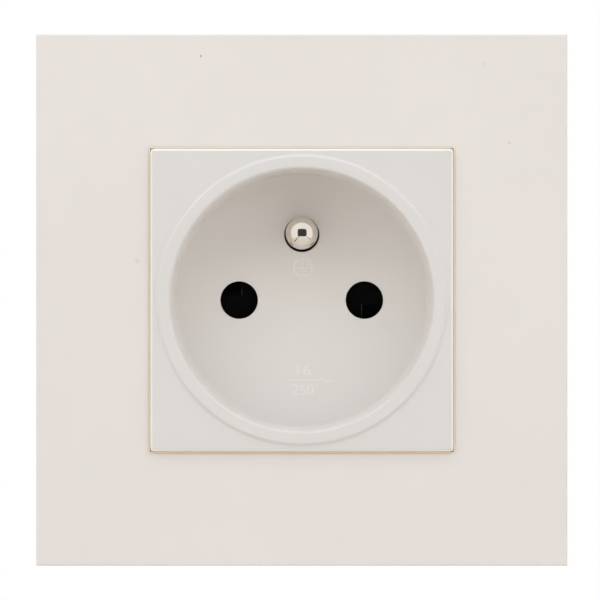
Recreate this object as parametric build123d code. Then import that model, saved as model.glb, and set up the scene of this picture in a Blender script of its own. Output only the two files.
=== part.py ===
from build123d import *
import math
import os

# Flush wall socket: a square surround plate on a clip carrier, a steel bridge, and a
# 45 mm socket insert with a shuttered well, an earth pin and screw terminals behind.
#
# Every piece is modelled as if the socket lay on its back: X to the right, Y up the wall
# and Z out of the wall towards the room, with Z = 0 on the wall. stand_up() then turns it,
# so that in the finished part Z is up, and the face looks along -Y.

# Pins, as the pin-earth plug standard sets them
PIN_PITCH = 19.0
PLUG_PIN = 4.8
PIN_HOLE_SPARE = 0.9
EARTH_RISE = 10.0
EARTH_PIN = 4.8
EARTH_REACH = 14.0
EARTH_HOLE_GAP = 0.25
EARTH_HOLE_DROP = 0.06

# Socket insert
WELL_MOUTH = 39.2
WELL_DRAFT = 0.45
WELL_DEPTH = 15.0
WELL_WALL = 1.3
WELL_FLOOR_WALL = 2.0
WELL_MOUTH_EDGE = 0.2
WELL_FLOOR_EDGE = 0.2
COLLAR_WIDTH = 2.1
COLLAR_RISE = 0.35
COLLAR_SLOPE = 0.4
FACE_MARGIN = 0.8
FACE_WALL = 1.6
INSERT_PROUD = 1.0
INSERT_CORNER = 0.6
INSERT_EDGE = 0.34
INSERT_WALL = 1.2
CORNER_RIB = 1.2

# Surround plate, whose side follows from the bridge that it covers
PLATE_FRONT = 8.0
PLATE_THICKNESS = 2.6
PLATE_EDGE_BREAK = 0.15

# Plate carrier; its lip lines the plate's window
LIP_WIDTH = 0.24
LIP_GAP = 0.06
LIP_RECESS = 0.05
CARRIER_INSET = 1.0
CARRIER_WALL = 1.5
CARRIER_WEB = 1.2
CARRIER_WALL_GAP = 0.2
CARRIER_POST = 4.0
POST_INSET = 7.5
CARRIER_RIB = 1.2
CARRIER_RIB_DEPTH = 1.0
CARRIER_RIB_OFFSET = 8.0

# Mounting bridge
SCREW_PITCH = 60.0
SCREW_SLOT = 4.2
SCREW_SLOT_LENGTH = 8.0
SLOT_MARGIN = 1.5
BRIDGE_GAP = 1.5
BRIDGE_SHEET = 1.2
BRIDGE_CORNER = 9.0
BRIDGE_BEND = 0.6
BRIDGE_WINDOW_GAP = 0.2
BEND_RELIEF = 0.8
FLANGE_WIDTH = 9.0
FLANGE_OFFSET = 10.5
FLANGE_DEPTH = 5.0
TAB_OFFSET = 18.0
TAB_WIDTH = 8.0
TAB_GAP = 0.3
TAB_BAND = 0.7
TAB_SLOT_WIDTH = 5.0
TAB_SLOT_HEIGHT = 1.5
CLIP_GAP = 0.15

# Hooks and ledges that hold the insert in the bridge
HOOK_WIDTH = 6.0
HOOK_REACH = 0.9
HOOK_LENGTH = 2.2
SKIRT_SPARE = 0.3
LEDGE_WIDTH = 4.0
LEDGE_OFFSET = 19.0
LEDGE_REACH = 1.5
LEDGE_THICKNESS = 1.4

# Straps that hold the rear housing on the insert
STRAP_WIDTH = 14.0
STRAP_LENGTH = 10.0
STRAP_SLOT_WIDTH = 9.0
STRAP_SLOT_LENGTH = 3.5
STRAP_SLOT_END = 2.0
BARB_REACH = 1.1

# Shutter
STUB_DIAMETER = 5.0
STUB_CLEARANCE = 0.05
BOSS_WALL = 0.9
ROTOR_GAP = 0.2
ROTOR_THICKNESS = 3.0
ROTOR_OVERLAP = 0.65
WING_HALF_ANGLE = 20.0
SHUTTER_TRAVEL = 40.0
RAMP_START = 0.55
RAMP_INNER_EDGE = 0.4
RAMP_DEPTH = 2.2
STOP_POST = 4.0
STOP_POST_RADIUS = 12.0
STOP_CLEARANCE = 0.15

# Shutter spring, a strip wound in a flat spiral
SPRING_STRIP = 0.3
SPRING_HEIGHT = 2.5
SPRING_PITCH = 0.5
SPRING_HALF_TURNS = 5
SPRING_BOSS_GAP = 0.25
SPRING_SLEEVE_GAP = 0.3
SPRING_END_GAP = 0.2
SPRING_HOOK = 0.5
SPRING_HOOK_GAP = 0.15

# Shutter guide
GUIDE_THICKNESS = 1.4
GUIDE_MARGIN = 0.3
GUIDE_HOLE_SPARE = 0.3
GUIDE_SLEEVE_WALL = 1.0
GUIDE_KEY_WIDTH = 4.0
GUIDE_KEY_REACH = 1.6
GUIDE_CLEARANCE = 0.3

# Contacts
STRIP = 0.7
STRIP_BEND = 1.0
LEAF_WIDTH = 5.0
LEAF_LENGTH = 11.4
LEAF_SQUEEZE = 0.5
LEAF_MOUTH = 5.9
LEAF_BASE = 5.3
LEAF_BEND = 2.5
MOUTH_DEPTH = 0.6
THROAT_DEPTH = 3.4
SHOULDER_DEPTH = 7.4
RISER_OFFSET = 5.4
PAD_LENGTH = 9.4

# Springs that press the contact leaves together
GRIP_STRIP = 0.4
GRIP_WIDTH = 3.2
GRIP_GAP = 0.12
GRIP_BEND = 0.8

# Rear housing
HOUSING_GAP = 0.1
HOUSING_WALL = 1.4
HOUSING_CORNER = 4.0
HOUSING_EDGE = 0.8
POCKET_CLEARANCE = 0.2
PAD_LEDGE = 0.5

# Terminals
TERMINAL_DEPTH = 11.4
WIRE_GAP = 2.0
CLAMP_LENGTH = 6.0
CLAMP_THICKNESS = 1.2
CLAMP_RIDGE = 0.3
CLAMP_HOLE_SPARE = 0.2
SCREW_DIAMETER = 3.5
SCREW_CLEARANCE = 0.05
SCREW_TIP = 2.2
SCREW_HEAD = 6.0
SCREW_HEAD_ROOM = 0.5
SCREW_HEAD_HEIGHT = 2.2
SCREW_DRIVE_WIDTH = 0.9
SCREW_DRIVE_DEPTH = 1.1

# Earth pin, behind the well floor
EARTH_NECK_STEP = 0.3
EARTH_BASE_STEP = 0.4
EARTH_TENON = 4.0
EARTH_RIVET_LIP = 0.7
EARTH_RIVET_HEIGHT = 0.5

# Widths that the sizes give
PIN_X = PIN_PITCH / 2
PIN_HOLE = PLUG_PIN + PIN_HOLE_SPARE
EARTH_HOLE = EARTH_PIN + 2 * EARTH_HOLE_GAP
WELL_FLOOR = WELL_MOUTH - 2 * WELL_DRAFT
COLLAR = WELL_MOUTH + 2 * COLLAR_WIDTH
INSERT_SIDE = COLLAR + 2 * FACE_MARGIN
INSERT_INSIDE = INSERT_SIDE - 2 * INSERT_WALL
INSERT_HALF = INSERT_SIDE / 2
LIP_OPENING = INSERT_SIDE + 2 * LIP_GAP
PLATE_WINDOW = LIP_OPENING + 2 * LIP_WIDTH
BRIDGE_WINDOW = INSERT_SIDE + 2 * BRIDGE_WINDOW_GAP
BRIDGE_SIDE = SCREW_PITCH + SCREW_SLOT_LENGTH + 2 * SLOT_MARGIN
CARRIER_INSIDE = BRIDGE_SIDE + 2 * BRIDGE_GAP
CARRIER_SIDE = CARRIER_INSIDE + 2 * CARRIER_WALL
PLATE_SIDE = CARRIER_SIDE + 2 * CARRIER_INSET
BEND_SETBACK = BRIDGE_BEND + BRIDGE_SHEET
ROTOR_REACH = PIN_X + PIN_HOLE / 2 + ROTOR_OVERLAP
STUB_BORE = STUB_DIAMETER + 2 * STUB_CLEARANCE
ROTOR_BOSS = STUB_BORE + 2 * BOSS_WALL
SPRING_INNER = ROTOR_BOSS / 2 + SPRING_BOSS_GAP + SPRING_STRIP / 2
SPRING_OUTER = SPRING_INNER + (SPRING_HALF_TURNS - 1) * SPRING_PITCH / 2
SLEEVE_INSIDE = 2 * (SPRING_OUTER + SPRING_STRIP / 2 + SPRING_SLEEVE_GAP)
ROTOR_HUB = SLEEVE_INSIDE + 2 * GUIDE_SLEEVE_WALL
GUIDE_RADIUS = STOP_POST_RADIUS + STOP_POST / 2 + GUIDE_MARGIN
LEAF_THROAT = PLUG_PIN - LEAF_SQUEEZE
TAIL_WIDTH = LEAF_BASE + 2 * STRIP - 2 * GRIP_BEND
PAD_WIDTH = SCREW_HEAD + 2 * (SCREW_HEAD_ROOM + PAD_LEDGE)
TERMINAL_WIDTH = PAD_WIDTH - 2 * PAD_LEDGE
CLAMP_WIDTH = TERMINAL_WIDTH - 2 * POCKET_CLEARANCE
SCREW_BORE = SCREW_DIAMETER + 2 * SCREW_CLEARANCE
HOUSING_SIDE = INSERT_INSIDE - 2 * HOUSING_GAP
SLOT_END = HOUSING_SIDE / 2 - HOUSING_WALL
TERMINAL_OFFSET = SLOT_END - POCKET_CLEARANCE - PAD_LENGTH / 2
EARTH_TERMINAL_OFFSET = SLOT_END - POCKET_CLEARANCE - CLAMP_LENGTH / 2
EARTH_NECK = EARTH_PIN - 2 * EARTH_NECK_STEP
EARTH_BASE = EARTH_PIN + 2 * EARTH_BASE_STEP
EARTH_RIVET = EARTH_TENON + 2 * EARTH_RIVET_LIP
EARTH_BAR_START = EARTH_RISE - PAD_WIDTH / 2

# Heights above the wall that the sizes give
INSERT_FACE = PLATE_FRONT + INSERT_PROUD
RIM = INSERT_FACE + COLLAR_RISE
FACE_BACK = INSERT_FACE - FACE_WALL
FLOOR = RIM - WELL_DEPTH
FLOOR_BACK = FLOOR - WELL_FLOOR_WALL
PLATE_BACK = PLATE_FRONT - PLATE_THICKNESS
WEB_BACK = PLATE_BACK - CARRIER_WEB
TAB_TOP = WEB_BACK - TAB_GAP
TAB_SLOT_TOP = TAB_TOP - TAB_BAND
TAB_SLOT_LOW = TAB_SLOT_TOP - TAB_SLOT_HEIGHT
HOOK_CATCH = -FLANGE_DEPTH - CLIP_GAP
SKIRT_BACK = HOOK_CATCH - HOOK_LENGTH - SKIRT_SPARE
STRAP_BACK = FLOOR_BACK - STRAP_LENGTH
STRAP_SLOT_LOW = STRAP_BACK + STRAP_SLOT_END
ROTOR_FRONT = FLOOR_BACK - ROTOR_GAP
ROTOR_BACK = ROTOR_FRONT - ROTOR_THICKNESS
SPRING_TOP = ROTOR_BACK - SPRING_END_GAP
SPRING_LOW = SPRING_TOP - SPRING_HEIGHT
GUIDE_FRONT = SPRING_LOW - SPRING_END_GAP
GUIDE_BACK = GUIDE_FRONT - GUIDE_THICKNESS
LEAF_TOP = GUIDE_BACK - MOUTH_DEPTH
LEAF_LOW = LEAF_TOP - LEAF_LENGTH
POCKET_LOW = LEAF_LOW - GRIP_GAP - GRIP_STRIP - POCKET_CLEARANCE
HOUSING_BACK = POCKET_LOW - HOUSING_WALL
PAD_FRONT = FLOOR_BACK - TERMINAL_DEPTH
PAD_BACK = PAD_FRONT - STRIP
CLAMP_FRONT = PAD_BACK - WIRE_GAP
CLAMP_BACK = CLAMP_FRONT - CLAMP_THICKNESS
HEAD_BACK = CLAMP_BACK - SCREW_HEAD_HEIGHT


def span(centre, width):
    """The two limits of a width about its centre."""
    return centre - width / 2, centre + width / 2


def slab(width, bottom, top):
    """A square slab centred on the socket's axis, between two heights."""
    return extrude(Pos(0, 0, bottom) * Rectangle(width, width), top - bottom)


def block(x_limits, y_limits, z_limits):
    """A block between three pairs of limits."""
    low = Vector(x_limits[0], y_limits[0], z_limits[0])
    high = Vector(x_limits[1], y_limits[1], z_limits[1])
    size = high - low
    return Pos((low + high) / 2) * Box(size.X, size.Y, size.Z)


def rod(diameter, bottom, top, x=0.0, y=0.0):
    """A round rod along Z between two heights."""
    return Pos(x, y, bottom) * extrude(Circle(diameter / 2), top - bottom)


def turned(*points):
    """A solid of revolution about Z from (radius, height) points."""
    return revolve(Plane.XZ * make_face(Polyline(*points, close=True)), Axis.Z)


def wedge(plane, points, width):
    """A prism with the given profile on a plane, centred across it."""
    return extrude(plane * make_face(Polyline(*points, close=True)), width / 2, both=True)


def bent_strip(plane, points, radii, width, thickness):
    """Sheet strip bent along a centre line on a plane; its width lies across that plane."""
    path = plane * FilletPolyline(*points, radius=radii)
    section = Plane(path @ 0, x_dir=plane.z_dir, z_dir=path % 0) * Rectangle(width, thickness)
    return sweep(section, path=path)


def mirrored_run(half):
    """A centre line from its right half: the points, then their mirror images back up."""
    return half + [(-x, z) for x, z in reversed(half)]


def turn(degrees, shape):
    """The shape turned about the socket's axis."""
    return Rot(0, 0, degrees) * shape


def polar(radius, degrees):
    """X and Y of a point at a radius and an angle from +X."""
    angle = math.radians(degrees)
    return radius * math.cos(angle), radius * math.sin(angle)


def stop_posts():
    """Centres of the posts that stop the shutter: two when it is shut, one when it is open."""
    lead = math.degrees(math.asin((STOP_POST / 2 + STOP_CLEARANCE) / STOP_POST_RADIUS))
    shut = -WING_HALF_ANGLE - lead
    opened = 180 + SHUTTER_TRAVEL + WING_HALF_ANGLE + lead
    return [polar(STOP_POST_RADIUS, angle) for angle in (shut, shut + 180, opened)]


def make_surround_plate():
    """Flat square plate with a square window for the insert."""
    plate = slab(PLATE_SIDE, PLATE_BACK, PLATE_FRONT)
    plate = chamfer(plate.faces().sort_by(Axis.Z)[-1].edges(), PLATE_EDGE_BREAK)
    return plate - slab(PLATE_WINDOW, PLATE_BACK, PLATE_FRONT)


def make_plate_carrier():
    """Shallow tray behind the plate, with a lip in its window, posts, ribs and clip barbs."""
    tray = slab(CARRIER_SIDE, CARRIER_WALL_GAP, PLATE_BACK)
    tray -= slab(CARRIER_INSIDE, CARRIER_WALL_GAP, WEB_BACK)
    lip = slab(PLATE_WINDOW, WEB_BACK, PLATE_FRONT - LIP_RECESS)
    carrier = tray + lip - slab(LIP_OPENING, WEB_BACK, PLATE_FRONT)
    # posts that stand on the bridge
    post = span(BRIDGE_SIDE / 2 - POST_INSET, CARRIER_POST)
    # ribs between the window and the tray's wall, either side of each screw slot
    rib_run = (BRIDGE_WINDOW / 2 + LEDGE_REACH, CARRIER_INSIDE / 2)
    rib_depth = (WEB_BACK - CARRIER_RIB_DEPTH, WEB_BACK)
    for quarter in (0, 90, 180, 270):
        carrier += turn(quarter, block(post, post, (BRIDGE_SHEET, WEB_BACK)))
        for side in (-CARRIER_RIB_OFFSET, CARRIER_RIB_OFFSET):
            carrier += turn(quarter, block(rib_run, span(side, CARRIER_RIB), rib_depth))
    # barbs that click into the slots of the bridge's tabs
    low = TAB_SLOT_LOW + CLIP_GAP
    high = TAB_SLOT_TOP - CLIP_GAP
    tip = BRIDGE_SIDE / 2 - BRIDGE_SHEET + CLIP_GAP
    root = CARRIER_INSIDE / 2
    barb = wedge(
        Plane.XZ,
        [(root, low), (tip, high - CLIP_GAP), (tip, high), (root, high)],
        TAB_SLOT_WIDTH - 2 * CLIP_GAP,
    )
    for half in (0, 180):
        for side in (-TAB_OFFSET, TAB_OFFSET):
            carrier += turn(half, Pos(0, side, 0) * barb)
    return carrier


def make_bridge_flange():
    """Flange at the top of the bridge's window, turned back into the wall."""
    middle = BRIDGE_SHEET / 2
    face = BRIDGE_WINDOW / 2 + middle
    root = BRIDGE_WINDOW / 2 + BEND_SETBACK + BEND_RELIEF
    points = [(root, middle), (face, middle), (face, -FLANGE_DEPTH)]
    return bent_strip(Plane.YZ, points, BRIDGE_BEND + middle, FLANGE_WIDTH, BRIDGE_SHEET)


def make_bridge_tab():
    """Tab at the right edge of the bridge, turned up, with a slot for the carrier's barb."""
    middle = BRIDGE_SHEET / 2
    edge = BRIDGE_SIDE / 2
    root = edge - BEND_SETBACK - BEND_RELIEF
    points = [(root, middle), (edge - middle, middle), (edge - middle, TAB_TOP)]
    tab = bent_strip(Plane.XZ, points, BRIDGE_BEND + middle, TAB_WIDTH, BRIDGE_SHEET)
    slot_height = (TAB_SLOT_LOW, TAB_SLOT_TOP)
    return tab - block((edge - BRIDGE_SHEET, edge), span(0, TAB_SLOT_WIDTH), slot_height)


def make_mounting_bridge():
    """Pressed steel frame on the wall, with screw slots, flanges for the insert and tabs."""
    sheet = (0, BRIDGE_SHEET)
    edge = BRIDGE_SIDE / 2
    outline = chamfer(Rectangle(BRIDGE_SIDE, BRIDGE_SIDE).vertices(), BRIDGE_CORNER)
    bridge = extrude(outline, BRIDGE_SHEET) - slab(BRIDGE_WINDOW, *sheet)
    slot = extrude(SlotOverall(SCREW_SLOT_LENGTH, SCREW_SLOT), BRIDGE_SHEET)
    for quarter in (0, 90, 180, 270):
        bridge -= turn(quarter, Pos(SCREW_PITCH / 2, 0, 0) * slot)
    flange = make_bridge_flange()
    tab = make_bridge_tab()
    flange_notch = (BRIDGE_WINDOW / 2, BRIDGE_WINDOW / 2 + BEND_SETBACK)
    tab_notch = (edge - BEND_SETBACK, edge)
    for half in (0, 180):
        for side in (-FLANGE_OFFSET, FLANGE_OFFSET):
            bridge -= turn(half, block(span(side, FLANGE_WIDTH + 2 * BEND_RELIEF), flange_notch, sheet))
            bridge += turn(half, Pos(side, 0, 0) * flange)
        for side in (-TAB_OFFSET, TAB_OFFSET):
            bridge -= turn(half, block(tab_notch, span(side, TAB_WIDTH + 2 * BEND_RELIEF), sheet))
            bridge += turn(half, Pos(0, side, 0) * tab)
    return bridge


def make_well():
    """The insert's round well: its outer form with the raised collar, and its drafted hollow."""
    mouth = WELL_MOUTH / 2
    foot = WELL_FLOOR / 2
    collar = COLLAR / 2
    form = turned(
        (0, FLOOR_BACK),
        (mouth + WELL_WALL, FLOOR_BACK),
        (mouth + WELL_WALL, FACE_BACK),
        (collar, FACE_BACK),
        (collar, INSERT_FACE),
        (collar - COLLAR_SLOPE, RIM),
        (0, RIM),
    )
    hollow = turned(
        (0, FLOOR),
        (foot - WELL_FLOOR_EDGE, FLOOR),
        (foot, FLOOR + WELL_FLOOR_EDGE),
        (mouth, RIM - WELL_MOUTH_EDGE),
        (mouth + WELL_MOUTH_EDGE, RIM),
        (0, RIM),
    )
    return form, hollow


def make_insert_clips():
    """Hooks and ledges at the insert's top edge, and the strap at its right edge."""
    hook_points = [
        (INSERT_HALF, HOOK_CATCH),
        (INSERT_HALF + HOOK_REACH, HOOK_CATCH),
        (INSERT_HALF, HOOK_CATCH - HOOK_LENGTH),
    ]
    hook = wedge(Plane.YZ, hook_points, HOOK_WIDTH)
    ledge_run = (INSERT_HALF - INSERT_WALL / 2, INSERT_HALF + LEDGE_REACH)
    ledge_height = (BRIDGE_SHEET, BRIDGE_SHEET + LEDGE_THICKNESS)
    clips = []
    for side in (-1, 1):
        clips.append(Pos(side * FLANGE_OFFSET, 0, 0) * hook)
        clips.append(block(span(side * LEDGE_OFFSET, LEDGE_WIDTH), ledge_run, ledge_height))
    wall = (INSERT_HALF - INSERT_WALL, INSERT_HALF)
    strap = block(wall, span(0, STRAP_WIDTH), (STRAP_BACK, SKIRT_BACK + SKIRT_SPARE))
    slot_height = (STRAP_SLOT_LOW, STRAP_SLOT_LOW + STRAP_SLOT_LENGTH)
    clips.append(strap - block(wall, span(0, STRAP_SLOT_WIDTH), slot_height))
    return clips


def make_socket_insert():
    """One moulding: square face and skirt, collared well, shutter stub, posts and clips."""
    outline = RectangleRounded(INSERT_SIDE, INSERT_SIDE, INSERT_CORNER)
    skirt = extrude(Pos(0, 0, SKIRT_BACK) * outline, INSERT_FACE - SKIRT_BACK)
    skirt = chamfer(skirt.faces().sort_by(Axis.Z)[-1].edges(), INSERT_EDGE)
    insert = skirt - slab(INSERT_INSIDE, SKIRT_BACK, FACE_BACK)
    # ribs from the well to the skirt's corners
    rib = block(span(0, math.hypot(INSERT_INSIDE, INSERT_INSIDE)), span(0, CORNER_RIB), (FLOOR, FACE_BACK))
    for diagonal in (45, 135):
        insert += turn(diagonal, rib)
    form, hollow = make_well()
    insert = insert + form - hollow
    # pin holes, earth hole, the shutter's stub and its stop posts
    for x in (-PIN_X, PIN_X):
        insert -= rod(PIN_HOLE, FLOOR_BACK, FLOOR, x)
    insert -= rod(EARTH_HOLE, FLOOR_BACK, FLOOR, 0, EARTH_RISE - EARTH_HOLE_DROP)
    insert += rod(STUB_DIAMETER, GUIDE_BACK + STUB_CLEARANCE, FLOOR_BACK)
    for x, y in stop_posts():
        insert += rod(STOP_POST, GUIDE_FRONT, FLOOR_BACK, x, y)
    for clip in make_insert_clips():
        insert += clip
        insert += turn(180, clip)
    return insert


def hook_slot():
    """Limits across the slots that take the spring's two hooks."""
    return -SPRING_STRIP - SPRING_HOOK_GAP, SPRING_HOOK_GAP


def make_shutter_rotor():
    """Two wings on a hub; a ramp on each wing lets a plug pin turn it aside."""
    far = 2 * ROTOR_REACH
    sides = [polar(far, -WING_HALF_ANGLE), polar(far, WING_HALF_ANGLE)]
    sector = Circle(ROTOR_REACH) & make_face(Polyline((0, 0), *sides, close=True))
    wing = Pos(0, 0, ROTOR_BACK) * extrude(sector, ROTOR_THICKNESS)
    low = -ROTOR_REACH * math.sin(math.radians(WING_HALF_ANGLE))
    ramp = wedge(
        Plane.YZ,
        [(-RAMP_START, ROTOR_FRONT), (low, ROTOR_FRONT), (low, ROTOR_FRONT - RAMP_DEPTH)],
        2 * (ROTOR_REACH - PIN_X + RAMP_INNER_EDGE),
    )
    wing -= Pos(ROTOR_REACH, 0, 0) * ramp
    rotor = rod(ROTOR_HUB, ROTOR_BACK, ROTOR_FRONT) + wing + turn(180, wing)
    # boss in the spring, with a slot for the spring's inner hook
    boss_depth = (GUIDE_FRONT + ROTOR_GAP, ROTOR_BACK)
    rotor += rod(ROTOR_BOSS, *boss_depth)
    slot_run = (ROTOR_BOSS / 2 - SPRING_HOOK - SPRING_HOOK_GAP, ROTOR_BOSS / 2)
    rotor -= block(slot_run, hook_slot(), boss_depth)
    return rotor - rod(STUB_BORE, boss_depth[0], ROTOR_FRONT)


def make_shutter_spring():
    """Flat spiral of half-turns, hooked in the rotor's boss and in the guide's sleeve."""
    height = (SPRING_LOW, SPRING_TOP)
    turns = []
    for step in range(SPRING_HALF_TURNS):
        side = step % 2
        radius = SPRING_INNER + step * SPRING_PITCH / 2
        turns.append(CenterArc((side * SPRING_PITCH / 2, 0, sum(height) / 2), radius, side * 180, 180))
    path = Wire(turns)
    section = Plane(path @ 0, x_dir=(0, 0, 1), z_dir=path % 0) * Rectangle(SPRING_HEIGHT, SPRING_STRIP)
    spring = sweep(section, path=path)
    hook = (-SPRING_STRIP, 0)
    inner_end = (ROTOR_BOSS / 2 - SPRING_HOOK, SPRING_INNER + SPRING_STRIP / 2)
    outer_end = (SPRING_OUTER - SPRING_STRIP / 2, SLEEVE_INSIDE / 2 + SPRING_HOOK)
    return spring + block(inner_end, hook, height) + mirror(block(outer_end, hook, height), Plane.YZ)


def make_shutter_guide():
    """Keyed disc behind the rotor; its sleeve backs the hub and holds the spring."""
    guide = rod(2 * GUIDE_RADIUS, GUIDE_BACK, GUIDE_FRONT)
    key_run = (-GUIDE_RADIUS - GUIDE_KEY_REACH, 0)
    guide += block(span(0, GUIDE_KEY_WIDTH), key_run, (GUIDE_BACK, GUIDE_FRONT))
    # sleeve, with a slot for the spring's outer hook
    sleeve_depth = (GUIDE_FRONT, ROTOR_BACK - ROTOR_GAP)
    guide += rod(ROTOR_HUB, *sleeve_depth) - rod(SLEEVE_INSIDE, *sleeve_depth)
    slot_run = (-SLEEVE_INSIDE / 2 - SPRING_HOOK - SPRING_HOOK_GAP, -SPRING_OUTER)
    guide -= block(slot_run, hook_slot(), sleeve_depth)
    guide -= rod(STUB_BORE, GUIDE_BACK, GUIDE_FRONT)
    for x in (-PIN_X, PIN_X):
        guide -= rod(PIN_HOLE + GUIDE_HOLE_SPARE, GUIDE_BACK, GUIDE_FRONT, x)
    return guide - rod(EARTH_NECK + 2 * EARTH_HOLE_GAP, GUIDE_BACK, GUIDE_FRONT, 0, EARTH_RISE)


def make_earth_pin():
    """Turned pin with a domed tip, a base under the guide and a tenon riveted in the bar."""
    tip = FLOOR + EARTH_REACH
    radius = EARTH_PIN / 2
    pin = turned(
        (0, PAD_BACK - EARTH_RIVET_HEIGHT),
        (EARTH_RIVET / 2, PAD_BACK - EARTH_RIVET_HEIGHT),
        (EARTH_RIVET / 2, PAD_BACK),
        (EARTH_TENON / 2, PAD_BACK),
        (EARTH_TENON / 2, PAD_FRONT),
        (EARTH_BASE / 2, PAD_FRONT),
        (EARTH_BASE / 2, GUIDE_BACK),
        (EARTH_NECK / 2, GUIDE_BACK),
        (EARTH_NECK / 2, FLOOR),
        (radius, FLOOR),
        (radius, tip - radius),
        (0, tip - radius),
    )
    pin += Pos(0, 0, tip - radius) * Sphere(radius)
    return Pos(0, EARTH_RISE, 0) * pin


def make_earth_bar():
    """Flat strip from the earth pin's tenon to its terminal screw."""
    end = EARTH_TERMINAL_OFFSET + CLAMP_LENGTH / 2
    bar = block(span(0, PAD_WIDTH), (EARTH_BAR_START, end), (PAD_BACK, PAD_FRONT))
    bar -= rod(EARTH_TENON, PAD_BACK, PAD_FRONT, 0, EARTH_RISE)
    return bar - rod(SCREW_BORE, PAD_BACK, PAD_FRONT, 0, EARTH_TERMINAL_OFFSET)


def make_contact():
    """One pin contact on the axis of its hole: bowed leaves, a riser and a terminal pad."""
    floor = LEAF_LOW + STRIP / 2
    base = (LEAF_BASE + STRIP) / 2
    half = [
        ((LEAF_MOUTH + STRIP) / 2, LEAF_TOP),
        ((LEAF_THROAT + STRIP) / 2, LEAF_TOP - THROAT_DEPTH),
        (base, LEAF_TOP - SHOULDER_DEPTH),
        (base, floor),
    ]
    bends = [LEAF_BEND, LEAF_BEND, STRIP_BEND, STRIP_BEND, LEAF_BEND, LEAF_BEND]
    contact = bent_strip(Plane.XZ, mirrored_run(half), bends, LEAF_WIDTH, STRIP)
    pad_middle = (PAD_FRONT + PAD_BACK) / 2
    pad_run = span(-TERMINAL_OFFSET, PAD_LENGTH)
    tail = [
        (LEAF_WIDTH / 2, floor),
        (-RISER_OFFSET, floor),
        (-RISER_OFFSET, pad_middle),
        (pad_run[0], pad_middle),
    ]
    contact += bent_strip(Plane.YZ, tail, STRIP_BEND, TAIL_WIDTH, STRIP)
    contact += block(span(0, PAD_WIDTH), pad_run, (PAD_BACK, PAD_FRONT))
    return contact - rod(SCREW_BORE, PAD_BACK, PAD_FRONT, 0, -TERMINAL_OFFSET)


def make_grip_spring():
    """U-shaped steel clip round the leaves of one contact."""
    off_leaf = STRIP + GRIP_GAP + GRIP_STRIP / 2
    side = LEAF_BASE / 2 + off_leaf
    half = [
        (LEAF_THROAT / 2 + off_leaf, LEAF_TOP - THROAT_DEPTH),
        (side, LEAF_TOP - SHOULDER_DEPTH),
        (side, LEAF_LOW - GRIP_GAP - GRIP_STRIP / 2),
    ]
    bends = [LEAF_BEND, GRIP_BEND, GRIP_BEND, LEAF_BEND]
    return bent_strip(Plane.XZ, mirrored_run(half), bends, GRIP_WIDTH, GRIP_STRIP)


def make_rear_housing():
    """Moulded base: shutter space, contact pockets, pad slots, terminal pockets and barbs."""
    edge = HOUSING_SIDE / 2
    outline = chamfer(Rectangle(HOUSING_SIDE, HOUSING_SIDE).vertices(), HOUSING_CORNER)
    housing = extrude(Pos(0, 0, HOUSING_BACK) * outline, FLOOR_BACK - HOUSING_BACK)
    housing = chamfer(housing.faces().sort_by(Axis.Z)[0].edges(), HOUSING_EDGE)
    # space for the shutter and its guide
    shutter_depth = (GUIDE_BACK, FLOOR_BACK)
    housing -= rod(2 * (GUIDE_RADIUS + GUIDE_CLEARANCE), *shutter_depth)
    key_run = (-GUIDE_RADIUS - GUIDE_KEY_REACH - GUIDE_CLEARANCE, 0)
    housing -= block(span(0, GUIDE_KEY_WIDTH + 2 * GUIDE_CLEARANCE), key_run, shutter_depth)
    # contact pockets and pad slots from the front, terminal pockets from the back
    leaf = LEAF_WIDTH / 2 + POCKET_CLEARANCE
    leaf_room = max(LEAF_MOUTH, LEAF_BASE + 2 * (GRIP_GAP + GRIP_STRIP)) + 2 * (STRIP + POCKET_CLEARANCE)
    riser = -RISER_OFFSET - STRIP - POCKET_CLEARANCE
    slot_width = PAD_WIDTH + 2 * POCKET_CLEARANCE
    pad_depth = (PAD_BACK, FLOOR_BACK)
    terminal_depth = (HOUSING_BACK, PAD_BACK)
    clamp_room = CLAMP_LENGTH / 2 + POCKET_CLEARANCE
    for x in (-PIN_X, PIN_X):
        housing -= block(span(x, leaf_room), (riser, leaf), (POCKET_LOW, FLOOR_BACK))
        housing -= block(span(x, slot_width), (-SLOT_END, leaf), pad_depth)
        housing -= block(span(x, TERMINAL_WIDTH), (-edge, clamp_room - TERMINAL_OFFSET), terminal_depth)
    # slot and terminal pocket of the earth bar, and a recess for the pin's rivet
    housing -= block(span(0, slot_width), (EARTH_BAR_START - POCKET_CLEARANCE, SLOT_END), pad_depth)
    housing -= block(span(0, TERMINAL_WIDTH), (EARTH_TERMINAL_OFFSET - clamp_room, edge), terminal_depth)
    rivet_depth = (PAD_BACK - EARTH_RIVET_HEIGHT - POCKET_CLEARANCE, PAD_BACK)
    housing -= rod(EARTH_RIVET + 2 * POCKET_CLEARANCE, *rivet_depth, 0, EARTH_RISE)
    # barbs under the insert's straps
    low = STRAP_SLOT_LOW + CLIP_GAP
    high = STRAP_SLOT_LOW + STRAP_SLOT_LENGTH - CLIP_GAP
    barb_points = [(edge, low), (edge + BARB_REACH, low), (edge, high)]
    barb = wedge(Plane.XZ, barb_points, STRAP_SLOT_WIDTH - 2 * CLIP_GAP)
    return housing + barb + turn(180, barb)


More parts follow.
